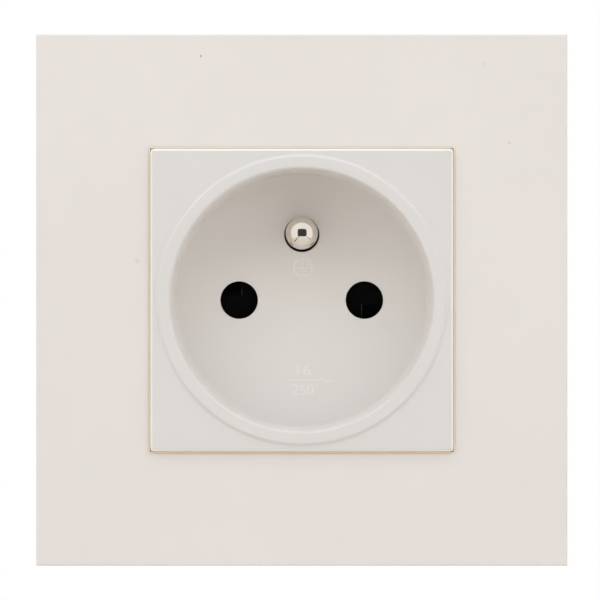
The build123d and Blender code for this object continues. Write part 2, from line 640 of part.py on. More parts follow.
def make_clamp_plate():
    """Saddle on the axis of its screw, with two ridges that bite the wire."""
    plate = block(span(0, CLAMP_WIDTH), span(0, CLAMP_LENGTH), (CLAMP_BACK, CLAMP_FRONT))
    ridge = wedge(
        Plane.YZ,
        [(-CLAMP_RIDGE, CLAMP_FRONT), (CLAMP_RIDGE, CLAMP_FRONT), (0, CLAMP_FRONT + CLAMP_RIDGE)],
        CLAMP_WIDTH,
    )
    offset = (SCREW_DIAMETER + CLAMP_LENGTH) / 4
    for y in (-offset, offset):
        plate += Pos(0, y, 0) * ridge
    return plate - rod(SCREW_DIAMETER + CLAMP_HOLE_SPARE, CLAMP_BACK, CLAMP_FRONT)


def make_terminal_screw():
    """Slotted cheese-head screw whose head lies behind its clamp plate."""
    drive_depth = (HEAD_BACK, HEAD_BACK + SCREW_DRIVE_DEPTH)
    head = rod(SCREW_HEAD, HEAD_BACK, CLAMP_BACK)
    head -= block(span(0, SCREW_HEAD), span(0, SCREW_DRIVE_WIDTH), drive_depth)
    return head + rod(SCREW_DIAMETER, CLAMP_BACK, PAD_FRONT + SCREW_TIP)


def build():
    """Every piece of the socket by name, still lying on its back."""
    contact = make_contact()
    grip_spring = make_grip_spring()
    clamp_plate = make_clamp_plate()
    terminal_screw = make_terminal_screw()
    pieces = {
        "surround_plate": make_surround_plate(),
        "plate_carrier": make_plate_carrier(),
        "mounting_bridge": make_mounting_bridge(),
        "socket_insert": make_socket_insert(),
        "shutter_rotor": make_shutter_rotor(),
        "shutter_spring": make_shutter_spring(),
        "shutter_guide": make_shutter_guide(),
        "earth_pin": make_earth_pin(),
        "earth_bar": make_earth_bar(),
        "rear_housing": make_rear_housing(),
    }
    terminals = {
        "neutral": (-PIN_X, -TERMINAL_OFFSET),
        "live": (PIN_X, -TERMINAL_OFFSET),
        "earth": (0, EARTH_TERMINAL_OFFSET),
    }
    for name, (x, y) in terminals.items():
        pieces[f"{name}_clamp_plate"] = Pos(x, y, 0) * clamp_plate
        pieces[f"{name}_terminal_screw"] = Pos(x, y, 0) * terminal_screw
    for name in ("neutral", "live"):
        x = terminals[name][0]
        pieces[f"{name}_contact"] = Pos(x, 0, 0) * contact
        pieces[f"{name}_grip_spring"] = Pos(x, 0, 0) * grip_spring
    return pieces


def stand_up(shape):
    """Turns a piece from lying on its back to hanging on the wall."""
    return Rot(90, 0, 0) * shape


os.makedirs("parts", exist_ok=True)
for node, piece in build().items():
    export_step(stand_up(piece), f"parts/{node}.step")
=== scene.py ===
"""Studio scene of the flush wall socket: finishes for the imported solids, and the finest pieces.

Every length is in metres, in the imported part's own frame: X to the right, Z up the wall and Y into
it, with the wall's plane at Y = 0 and the socket's axis on Y.
"""

import logging
import math
from dataclasses import dataclass, field
from enum import Enum

import bmesh
import bpy
from bmesh.types import BMEdge, BMesh, BMFace, BMVert
from bpy.types import Material, Node, NodeSocket as Socket, NodeTree, Object
from mathutils import Matrix, Vector

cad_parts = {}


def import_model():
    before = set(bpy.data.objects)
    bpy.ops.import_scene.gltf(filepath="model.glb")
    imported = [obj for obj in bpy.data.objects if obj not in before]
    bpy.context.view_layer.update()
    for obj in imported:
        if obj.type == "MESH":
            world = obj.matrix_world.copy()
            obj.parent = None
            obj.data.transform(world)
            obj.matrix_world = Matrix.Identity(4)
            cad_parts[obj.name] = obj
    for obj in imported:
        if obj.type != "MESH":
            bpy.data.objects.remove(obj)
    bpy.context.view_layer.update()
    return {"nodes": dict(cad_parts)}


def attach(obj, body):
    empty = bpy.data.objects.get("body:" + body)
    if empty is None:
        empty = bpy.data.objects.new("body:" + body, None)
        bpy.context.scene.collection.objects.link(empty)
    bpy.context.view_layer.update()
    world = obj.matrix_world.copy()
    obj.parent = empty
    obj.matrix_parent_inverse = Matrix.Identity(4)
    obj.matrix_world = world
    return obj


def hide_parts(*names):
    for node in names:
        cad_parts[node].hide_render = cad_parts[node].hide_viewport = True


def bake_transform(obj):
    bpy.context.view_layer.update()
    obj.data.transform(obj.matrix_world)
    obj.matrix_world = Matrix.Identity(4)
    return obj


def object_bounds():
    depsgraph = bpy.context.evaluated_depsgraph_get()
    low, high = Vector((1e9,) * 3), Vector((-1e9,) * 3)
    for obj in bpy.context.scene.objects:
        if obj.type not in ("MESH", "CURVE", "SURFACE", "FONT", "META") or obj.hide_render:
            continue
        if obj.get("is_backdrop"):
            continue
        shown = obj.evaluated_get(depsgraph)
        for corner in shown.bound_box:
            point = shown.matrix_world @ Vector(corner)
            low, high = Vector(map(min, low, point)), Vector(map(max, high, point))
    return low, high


Triple = tuple[float, float, float]
Colour = Triple
Span = tuple[float, float]
Nodes = dict[str, Object]
Geometry = list[BMVert | BMEdge | BMFace]

MM = 0.001
# the well's floor, where the marks stand and the pin comes through
FLOOR_Y = 5.65 * MM
WHITE: Colour = (1.0, 1.0, 1.0)
UP: Triple = (0.0, 0.0, 1.0)
# turns a piece that was drawn flat, facing +Z, so that it faces the room or the wall
FACE_ROOM = Matrix.Rotation(math.radians(90), 4, "X")
FACE_WALL = Matrix.Rotation(math.radians(-90), 4, "X")
# vertices nearer than this are one
MERGE = 0.000001
# edges flatter than this are shaded smooth
SMOOTH = math.radians(30)
# numbers of the Mix node's colour sockets, whose names its other sockets share
MIX_UNDER, MIX_OVER, MIX_RESULT = 6, 7, 2
# a scale that leaves out Y, so that a length is a distance from the axis
ACROSS: Triple = (1.0, 0.0, 1.0)
# turn of a rounded normal from the true one, where the edge colour starts and where it is full; it is
# wear on most pieces and a painted highlight on the black rotor
EDGE_TURN: Span = (0.02, 0.25)
# part of a cloudy noise over which roughness goes from lowest to highest
ROUGH_BAND: Span = (0.3, 0.7)
# the Wave node draws a ring at every such part of a unit
WAVE_UNIT = math.tau / 20
# rays that the Bevel node sends out
BEVEL_RAYS = 6

log = logging.getLogger("wall_socket")


class Body(Enum):
    """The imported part's bodies that new pieces ride on."""

    SOCKET = "socket"
    SHUTTER = "shutter"


class Slot(Enum):
    """Names of the record's material slots, which no piece here takes its finish from."""

    INSERT_WHITE = "insert_white"
    SPRING_STEEL = "spring_steel"
    PIN_NICKEL = "pin_nickel"
    SCREW_STEEL = "screw_steel"


class Grain(Enum):
    """The way that a sheet was rolled, as the noise's scale along each axis, per metre."""

    ALONG_X = (90.0, 3800.0, 3800.0)
    ALONG_Y = (3800.0, 90.0, 3800.0)
    ALONG_Z = (3800.0, 3800.0, 90.0)


class ShaderGraph:
    """Nodes and links of one shader tree, which is a material's or the world's."""

    def __init__(self, tree: NodeTree) -> None:
        """Empties the tree.

        Args:
            tree: where the nodes go.
        """
        self.nodes = tree.nodes
        self.links = tree.links
        self.nodes.clear()

    def node(self, kind: str, feeds: dict[str | int, object], **settings: object) -> Node:
        """Adds a node.

        Args:
            kind: the node's type, without the words that every type starts with.
            feeds: for each input, by name or number, a socket to link or a value to set.
            settings: properties of the node.

        Returns:
            The new node.
        """
        made = self.nodes.new("ShaderNode" + kind)
        for name, value in settings.items():
            setattr(made, name, value)
        for name, value in feeds.items():
            if isinstance(value, Socket):
                self.links.new(value, made.inputs[name])
            else:
                made.inputs[name].default_value = value
        return made

    def math(self, operation: str, first: Socket | float, second: Socket | float) -> Socket:
        """Works two numbers together by one of the Math node's operations."""
        return self.node("Math", {0: first, 1: second}, operation=operation).outputs[0]

    def mixed(self, factor: Socket, first: Socket, second: Socket) -> Socket:
        """Goes from one shader to another as a factor goes from 0 to 1."""
        return self.node("MixShader", {0: factor, 1: first, 2: second}).outputs[0]

    def seen(self) -> Socket:
        """Tells rays that show things from rays that only light them.

        Returns:
            1 for rays of the camera, of gloss and of transmission, and 0 for the rest.
        """
        path = self.node("LightPath", {}).outputs
        either = self.math("MAXIMUM", path["Is Camera Ray"], path["Is Glossy Ray"])
        return self.math("MAXIMUM", either, path["Is Transmission Ray"])


class FinishGraph(ShaderGraph):
    """Shader graph of one finish, on the Object coordinates of the piece that wears it."""

    def __init__(self, name: str) -> None:
        """Starts a material with one principled shader.

        Args:
            name: the material's name.
        """
        self.material = bpy.data.materials.new(name)
        self.material.use_nodes = True
        super().__init__(self.material.node_tree)
        self.shader = self.node("BsdfPrincipled", {})
        self.output = self.node("OutputMaterial", {"Surface": self.shader.outputs["BSDF"]})
        self.place = self.node("TexCoord", {}).outputs["Object"]

    def fix(self, name: str, value: float | Colour) -> None:
        """Sets one of the shader's own sockets to a value that is the same all over."""
        self.shader.inputs[name].default_value = (*value, 1.0) if isinstance(value, tuple) else value

    def drive(self, name: str, source: Socket) -> None:
        """Links a socket of the graph to one of the shader's."""
        self.links.new(source, self.shader.inputs[name])

    def noise(self, scale: float, detail: float = 2.0, place: Socket | None = None) -> Socket:
        """Cloudy noise about a half, by its waves per metre, its octaves and where it is read."""
        feeds = {"Vector": place or self.place, "Scale": scale, "Detail": detail}
        return self.node("TexNoise", feeds).outputs[0]

    def stretched(self, scale: Triple) -> Socket:
        """The piece's coordinates with a scale of their own along each axis."""
        return self.node("Mapping", {"Vector": self.place, "Scale": scale}).outputs[0]

    def patch(self, centre: Vector, turn: float, half: Vector) -> Socket:
        """Coordinates about a centre, turned about Y, which are 1 long at a patch's half sizes."""
        feeds = {"Vector": self.place, "Location": centre, "Rotation": (0.0, turn, 0.0), "Scale": half}
        return self.node("Mapping", feeds, vector_type="TEXTURE").outputs[0]

    def spread(self, factor: Socket, band: Span, values: Span) -> Socket:
        """Goes smoothly from one value to another as a factor passes through a band."""
        # the node's inputs stand in this order
        feeds = dict(enumerate((factor, *band, *values)))
        return self.node("MapRange", feeds, interpolation_type="SMOOTHSTEP").outputs[0]

    def measure(self, operation: str, first: Socket, second: Socket | None = None) -> Socket:
        """A number from one or two vectors, by one of the Vector Math node's operations."""
        feeds = {0: first} if second is None else {0: first, 1: second}
        return self.node("VectorMath", feeds, operation=operation).outputs["Value"]

    def shade(self, factor: Socket, dark: Colour, light: Colour, band: Span) -> Socket:
        """Goes from a dark colour to a light one as a factor passes through a band.

        Args:
            factor: what the colour follows.
            dark: the colour below the band.
            light: the colour above it.
            band: where the colour starts to change, and where it stops.

        Returns:
            The colour.
        """
        ramp = self.node("ValToRGB", {"Fac": factor})
        for element, position, colour in zip(ramp.color_ramp.elements, band, (dark, light)):
            element.position = position
            element.color = (*colour, 1.0)
        return ramp.outputs["Color"]

    def cover(self, factor: Socket, under: Socket, colour: Colour) -> Socket:
        """Lays a colour over another, from a factor of 0, where the other shows, to 1."""
        feeds = {0: factor, MIX_UNDER: under, MIX_OVER: (*colour, 1.0)}
        return self.node("Mix", feeds, data_type="RGBA").outputs[MIX_RESULT]

    def vary_roughness(self, scale: float, roughness: Span) -> None:
        """Lets the shader's roughness wander between two values, by a cloudy noise."""
        self.drive("Roughness", self.spread(self.noise(scale, detail=3.0), ROUGH_BAND, roughness))

    def rounded(self, radius: float) -> Socket:
        """A normal that rounds the piece's edges by a radius."""
        return self.node("Bevel", {"Radius": radius}, samples=BEVEL_RAYS).outputs[0]

    def edge_mask(self, rounded: Socket, share: float) -> Socket:
        """Finds the edges, which take wear from handling on most pieces, and a painted highlight on the
        black rotor.

        Args:
            rounded: the normal with rounded edges.
            share: how far the edges themselves take the lighter edge colour.

        Returns:
            A factor that is 0 on flat faces and rises to the share on edges.
        """
        normal = self.node("NewGeometry", {}).outputs["Normal"]
        turn = self.math("SUBTRACT", 1.0, self.measure("DOT_PRODUCT", rounded, normal))
        return self.spread(turn, EDGE_TURN, (0.0, share))

    def square_reach(self) -> Socket:
        """Measures a place's distance from the socket's axis along X and along Z.

        Returns:
            The larger of the two distances.
        """
        sides = self.node("VectorMath", {0: self.place}, operation="ABSOLUTE").outputs[0]
        apart = self.node("SeparateXYZ", {"Vector": sides}).outputs
        return self.math("MAXIMUM", apart["X"], apart["Z"])

    def relief(self, height: Socket, depth: float, normal: Socket | None = None) -> Socket:
        """A normal with fine relief on it.

        Args:
            height: factor that goes from the hollows to the tops.
            depth: the relief's depth in metres.
            normal: the normal that the relief lies on, or None for the surface's own.

        Returns:
            The normal with the relief.
        """
        feeds: dict[str | int, object] = {"Height": height, "Distance": depth}
        if normal is not None:
            feeds["Normal"] = normal
        return self.node("Bump", feeds).outputs[0]


@dataclass(frozen=True)
class Finish:
    """A finish by name and range of roughness, whose material is built once."""

    name: str
    roughness: Span

    def material(self) -> Material:
        """Builds the material when it is first asked for.

        Returns:
            The material.
        """
        if self.name not in bpy.data.materials:
            self.fill(FinishGraph(self.name))
        return bpy.data.materials[self.name]

    def fill(self, graph: FinishGraph) -> None:
        """Fills in the material's graph; every kind of finish has its own way."""
        raise NotImplementedError


@dataclass(frozen=True)
class Blemish:
    """A small mark on the lacquer: its place on the plate, its half sizes and its colour."""

    x: float
    z: float
    half_width: float
    half_height: float
    turn: float
    colour: Colour
    strength: float


@dataclass(frozen=True)
class Lacquer(Finish):
    """Sprayed satin lacquer: soft clouds in its tone, orange peel, and a few old marks."""

    light: Colour
    dark: Colour
    cloud_scale: float
    peel_scale: float
    peel_depth: float
    edge_radius: float
    blemishes: tuple[Blemish, ...] = ()
    cloud_band: Span = (0.35, 0.65)
    rough_scale: float = 420.0
    mark_scale: float = 2600.0
    mark_raggedness: float = 0.5
    mark_fade: Span = (0.5, 1.25)

    def fill(self, graph: FinishGraph) -> None:
        """Builds the lacquer.

        Args:
            graph: the new material's.
        """
        clouds = graph.noise(self.cloud_scale, detail=3.0)
        colour = graph.shade(clouds, self.dark, self.light, self.cloud_band)
        for mark in self.blemishes:
            half = Vector((mark.half_width, 1.0, mark.half_height))
            patch = graph.patch(Vector((mark.x, 0.0, mark.z)), mark.turn, half)
            ragged = graph.math("MULTIPLY", graph.noise(self.mark_scale), self.mark_raggedness)
            reach = graph.math("ADD", graph.measure("LENGTH", patch), ragged)
            factor = graph.spread(reach, self.mark_fade, (mark.strength, 0.0))
            colour = graph.cover(factor, colour, mark.colour)
        graph.drive("Base Color", colour)
        graph.vary_roughness(self.rough_scale, self.roughness)
        peel = graph.noise(self.peel_scale)
        graph.drive("Normal", graph.relief(peel, self.peel_depth, graph.rounded(self.edge_radius)))


@dataclass(frozen=True)
class MouldedPlastic(Finish):
    """Moulded plastic: flow clouds, a fine spark-eroded grain, softened edges, and edges painted
    lighter, which is wear on most mouldings and a painted highlight on the black rotor.

    The highlight's half side is that of the square outside which a moulding is painted lighter and
    coated.
    This painted highlight stands in for light on its edge. A well is the radius within which it is
    painted lighter, standing in for light that fills the well. An edge share, fleck, highlight side or
    well of 0 means none.
    """

    light: Colour
    dark: Colour
    wear_fleck_and_highlight: Colour
    edge_wear_and_highlight: float = 0.25
    edge_patch_scale: float = 900.0
    edge_patch_band: Span = (0.35, 0.65)
    edge_patch_share: Span = (0.2, 1.0)
    cloud_scale: float = 110.0
    cloud_band: Span = (0.32, 0.68)
    rough_scale: float = 650.0
    grain_scale: float = 5200.0
    grain_depth: float = 0.012 * MM
    edge_radius: float = 0.12 * MM
    gloss: float = 0.5
    fleck: float = 0.0
    fibre_scale: Triple = (1400.0, 1400.0, 5200.0)
    fibre_band: Span = (0.62, 0.75)
    # painted highlight: outside this half side the moulding is painted lighter and coated, standing in
    # for light on its edge
    highlight_rim: float = 0.0
    highlight_coat: float = 0.45
    highlight_coat_ior: float = 2.0
    highlight_coat_roughness: float = 0.25
    # painted light: inside this radius the moulding is painted lighter, standing in for light that fills
    # the well
    well: float = 0.0
    well_painted_light: Colour = WHITE
    well_painted_light_share: float = 0.9
    border: float = 0.1 * MM

    def fill(self, graph: FinishGraph) -> None:
        """Builds the plastic.

        Args:
            graph: the new material's.
        """
        graph.fix("Specular IOR Level", self.gloss)
        clouds = graph.noise(self.cloud_scale, detail=4.0)
        colour = graph.shade(clouds, self.dark, self.light, self.cloud_band)
        # painted light: the well is painted a lighter tone, standing in for light that fills it
        if self.well:
            reach = graph.measure("LENGTH", graph.stretched(ACROSS))
            inside = graph.spread(reach, (self.well, self.well + self.border), (self.well_painted_light_share, 0.0))
            colour = graph.cover(inside, colour, self.well_painted_light)
        rounded = graph.rounded(self.edge_radius)
        # lighter edges: wear on most mouldings, and on the black rotor a painted highlight standing in
        # for light on its edges
        if self.edge_wear_and_highlight:
            edge_patches = graph.noise(self.edge_patch_scale, detail=3.0)
            edge_patches = graph.spread(edge_patches, self.edge_patch_band, self.edge_patch_share)
            edge_mask = graph.math("MULTIPLY", graph.edge_mask(rounded, self.edge_wear_and_highlight), edge_patches)
            colour = graph.cover(edge_mask, colour, self.wear_fleck_and_highlight)
        # painted highlight: outside the square, a lighter colour and a coat stand in for light on the
        # insert's edge
        if self.highlight_rim:
            highlight_band = graph.spread(graph.square_reach(), (self.highlight_rim, self.highlight_rim + self.border), (0.0, 1.0))
            colour = graph.cover(highlight_band, colour, self.wear_fleck_and_highlight)
            graph.drive("Coat Weight", graph.math("MULTIPLY", highlight_band, self.highlight_coat))
            graph.fix("Coat IOR", self.highlight_coat_ior)
            graph.fix("Coat Roughness", self.highlight_coat_roughness)
        if self.fleck:
            fibres = graph.noise(1.0, detail=1.0, place=graph.stretched(self.fibre_scale))
            fibres = graph.spread(fibres, self.fibre_band, (0.0, self.fleck))
            colour = graph.cover(fibres, colour, self.wear_fleck_and_highlight)
        graph.drive("Base Color", colour)
        graph.vary_roughness(self.rough_scale, self.roughness)
        grain = graph.noise(self.grain_scale)
        graph.drive("Normal", graph.relief(grain, self.grain_depth, rounded))


@dataclass(frozen=True)
class SheetMetal(Finish):
    """Rolled and plated sheet: mill lines, cloudy tarnish and bright edges."""

    bright: Colour
    tarnish: Colour
    grain: Grain
    cloud_scale: float = 160.0
    stain_band: Span = (0.46, 0.74)
    line_stain: float = 0.25
    line_roughness: float = 0.45
    line_depth: float = 0.008 * MM
    rough_band: Span = (0.35, 0.65)
    edge_radius: float = 0.1 * MM
    edge_share: float = 0.6

    def fill(self, graph: FinishGraph) -> None:
        """Builds the metal.

        Args:
            graph: the new material's.
        """
        graph.fix("Metallic", 1.0)
        lines = graph.noise(1.0, detail=3.0, place=graph.stretched(self.grain.value))
        clouds = graph.noise(self.cloud_scale, detail=5.0)
        stained = graph.math("ADD", clouds, graph.math("MULTIPLY", lines, self.line_stain))
        colour = graph.shade(stained, self.tarnish, self.bright, self.stain_band)
        rounded = graph.rounded(self.edge_radius)
        edge_mask = graph.edge_mask(rounded, self.edge_share)
        graph.drive("Base Color", graph.cover(edge_mask, colour, self.bright))
        line_part = graph.math("MULTIPLY", lines, self.line_roughness)
        cloud_part = graph.math("MULTIPLY", clouds, 1.0 - self.line_roughness)
        rough = graph.math("ADD", line_part, cloud_part)
        graph.drive("Roughness", graph.spread(rough, self.rough_band, self.roughness))
        graph.drive("Normal", graph.relief(lines, self.line_depth, rounded))


@dataclass(frozen=True)
class TurnedMetal(Finish):
    """Turned and plated metal: fine rings about its own axis, which runs along Y."""

    bright: Colour
    tarnish: Colour
    x: float
    z: float
    ring_pitch: float
    ring_depth: float
    ring_wander: float = 0.6
    cloud_scale: float = 340.0
    cloud_band: Span = (0.3, 0.6)
    rough_scale: float = 900.0

    def fill(self, graph: FinishGraph) -> None:
        """Builds the metal.

        Args:
            graph: the new material's.
        """
        graph.fix("Metallic", 1.0)
        axis = graph.patch(Vector((self.x, 0.0, self.z)), 0.0, Vector((1.0, 1.0, 1.0)))
        scale = WAVE_UNIT / self.ring_pitch
        feeds = {"Vector": axis, "Scale": scale, "Distortion": self.ring_wander, "Detail": 2.0}
        rings = graph.node("TexWave", feeds, wave_type="RINGS", rings_direction="Y").outputs["Fac"]
        steps = graph.node("TexWave", feeds, wave_type="BANDS", bands_direction="Y").outputs["Fac"]
        marks = graph.math("MULTIPLY", graph.math("ADD", rings, steps), 0.5)
        clouds = graph.noise(self.cloud_scale, detail=4.0)
        graph.drive("Base Color", graph.shade(clouds, self.tarnish, self.bright, self.cloud_band))
        graph.vary_roughness(self.rough_scale, self.roughness)
        graph.drive("Normal", graph.relief(marks, self.ring_depth))


def wear(piece: Object, finish: Finish) -> None:
    """Puts a finish on every material slot of a piece, and reports it.

    Args:
        piece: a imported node's object, or a new piece.
        finish: what it wears.
    """
    material = finish.material()
    if not piece.material_slots:
        piece.data.materials.append(material)
    for slot in piece.material_slots:
        slot.material = material
    log.info("%s wears %s", piece.name, finish.name)


def finished(name: str, bm: BMesh, place: Matrix, smooth_angle: float = SMOOTH) -> Object:
    """Makes an object of a modelled shape, with its place in its mesh.

    Args:
        name: the piece's name.
        bm: the shape, in its own frame; it is freed.
        place: from the shape's frame to the part's.
        smooth_angle: edges flatter than this, in radians, are shaded smooth.

    Returns:
        The object, at the origin, in the scene.
    """
    bmesh.ops.transform(bm, matrix=place, verts=bm.verts)
    bmesh.ops.recalc_face_normals(bm, faces=bm.faces)
    mesh = bpy.data.meshes.new(name)
    bm.to_mesh(mesh)
    bm.free()
    mesh.shade_smooth()
    mesh.set_sharp_from_angle(angle=smooth_angle)
    piece = bpy.data.objects.new(name, mesh)
    bpy.context.scene.collection.objects.link(piece)
    return piece


def only(kind: type, geom: Geometry) -> Geometry:
    """The elements of one kind among some geometry."""
    return [item for item in geom if isinstance(item, kind)]


def rectangle(width: float, length: float) -> BMesh:
    """Draws a flat rectangle about the origin, facing +Z.

    Args:
        width: its size along X.
        length: its size along Y.

    Returns:
        The shape.
    """
    bm = bmesh.new()
    bmesh.ops.create_grid(bm, x_segments=1, y_segments=1, size=0.5)
    bmesh.ops.scale(bm, vec=(width, length, 1.0), verts=bm.verts)
    return bm


def pull(bm: BMesh, ends: list[BMFace], way: Vector) -> Geometry:
    """Extrudes some faces, and leaves none of them inside the shape.

    Args:
        bm: the shape.
        ends: the faces.
        way: how far they go.

    Returns:
        The geometry at the far end.
    """
    drawn = bmesh.ops.extrude_face_region(bm, geom=ends)["geom"]
    bmesh.ops.delete(bm, geom=ends, context="FACES_ONLY")
    bmesh.ops.translate(bm, vec=way, verts=only(BMVert, drawn))
    return drawn


def round_edges(bm: BMesh, edges: list[BMEdge], offset: float, steps: int) -> None:
    """Rounds some edges of a shape."""
    bmesh.ops.bevel(
        bm, geom=edges, offset=offset, affect="EDGES", segments=steps, profile=0.5, material=-1
    )


def lathe(bm: BMesh, points: list[Span], steps: int) -> None:
    """Draws a profile, spins it through a full turn about the Z axis, and closes seam and poles.

    Args:
        bm: where the shape goes.
        points: the profile's radii and heights, in order.
        steps: how many segments the turn has.
    """
    before = set(bm.verts)
    radius, height = points[0]
    tail = bmesh.ops.create_vert(bm, co=(radius, 0.0, height))["vert"][0]
    profile: Geometry = [tail]
    for radius, height in points[1:]:
        drawn = bmesh.ops.extrude_vert_indiv(bm, verts=[tail])
        tail = drawn["verts"][0]
        tail.co = (radius, 0.0, height)
        profile += drawn["edges"] + drawn["verts"]
    bmesh.ops.spin(bm, geom=profile, axis=UP, angle=math.tau, steps=steps, use_merge=True)
    made = [vert for vert in bm.verts if vert not in before]
    bmesh.ops.remove_doubles(bm, verts=made, dist=MERGE)


@dataclass
class SinglePart:
    """A sub-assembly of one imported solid, which keeps its shape."""

    node: str
    finish: Finish

    def dress(self, nodes: Nodes) -> None:
        """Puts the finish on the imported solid."""
        wear(nodes[self.node], self.finish)


@dataclass
class SurroundPlate(SinglePart):
    """Square lacquered plate round the insert."""

    node: str = "surround_plate"
    finish: Lacquer = Lacquer(
        name="ivory_lacquer",
        light=(0.823, 0.784, 0.763),
        dark=(0.809, 0.770, 0.749),
        roughness=(0.34, 0.46),
        cloud_scale=38.0,
        peel_scale=1500.0,
        peel_depth=0.015 * MM,
        edge_radius=0.15 * MM,
        blemishes=(
            Blemish(-0.01500, 0.03630, 0.00024, 0.00024, 0.0, (0.30, 0.27, 0.25), 0.85),
            Blemish(0.02705, 0.03520, 0.00018, 0.00048, 0.15, (0.56, 0.62, 0.60), 0.6),
            Blemish(0.03085, 0.02340, 0.00042, 0.00018, 0.2, (0.58, 0.50, 0.49), 0.6),
            Blemish(-0.02450, 0.00580, 0.00060, 0.00050, 0.5, (0.66, 0.62, 0.59), 0.5),
        ),
    )


@dataclass
class PlateCarrier(SinglePart):
    """Tan clip frame behind the plate, whose lip shows round the insert."""

    node: str = "plate_carrier"
    finish: MouldedPlastic = MouldedPlastic(
        name="tan_plastic",
        light=(0.99, 0.84, 0.60),
        dark=(0.97, 0.81, 0.56),
        roughness=(0.42, 0.55),
        wear_fleck_and_highlight=(0.99, 0.89, 0.70),
        fleck=0.35,
    )


@dataclass
class MountingBridge(SinglePart):
    """Pressed and plated steel bridge on the wall."""

    node: str = "mounting_bridge"
    finish: SheetMetal = SheetMetal(
        name="zinc_sheet",
        bright=(0.66, 0.67, 0.68),
        tarnish=(0.50, 0.50, 0.47),
        roughness=(0.28, 0.46),
        grain=Grain.ALONG_X,
    )


@dataclass(frozen=True)
class Figures:
    """Raised figures on the well's floor: the middle and the size of their box, and their weight.

    The weight is how far their lines are thickened, as a share of the type's own height.
    """

    text: str
    x: float
    z: float
    width: float
    height: float
    weight: float


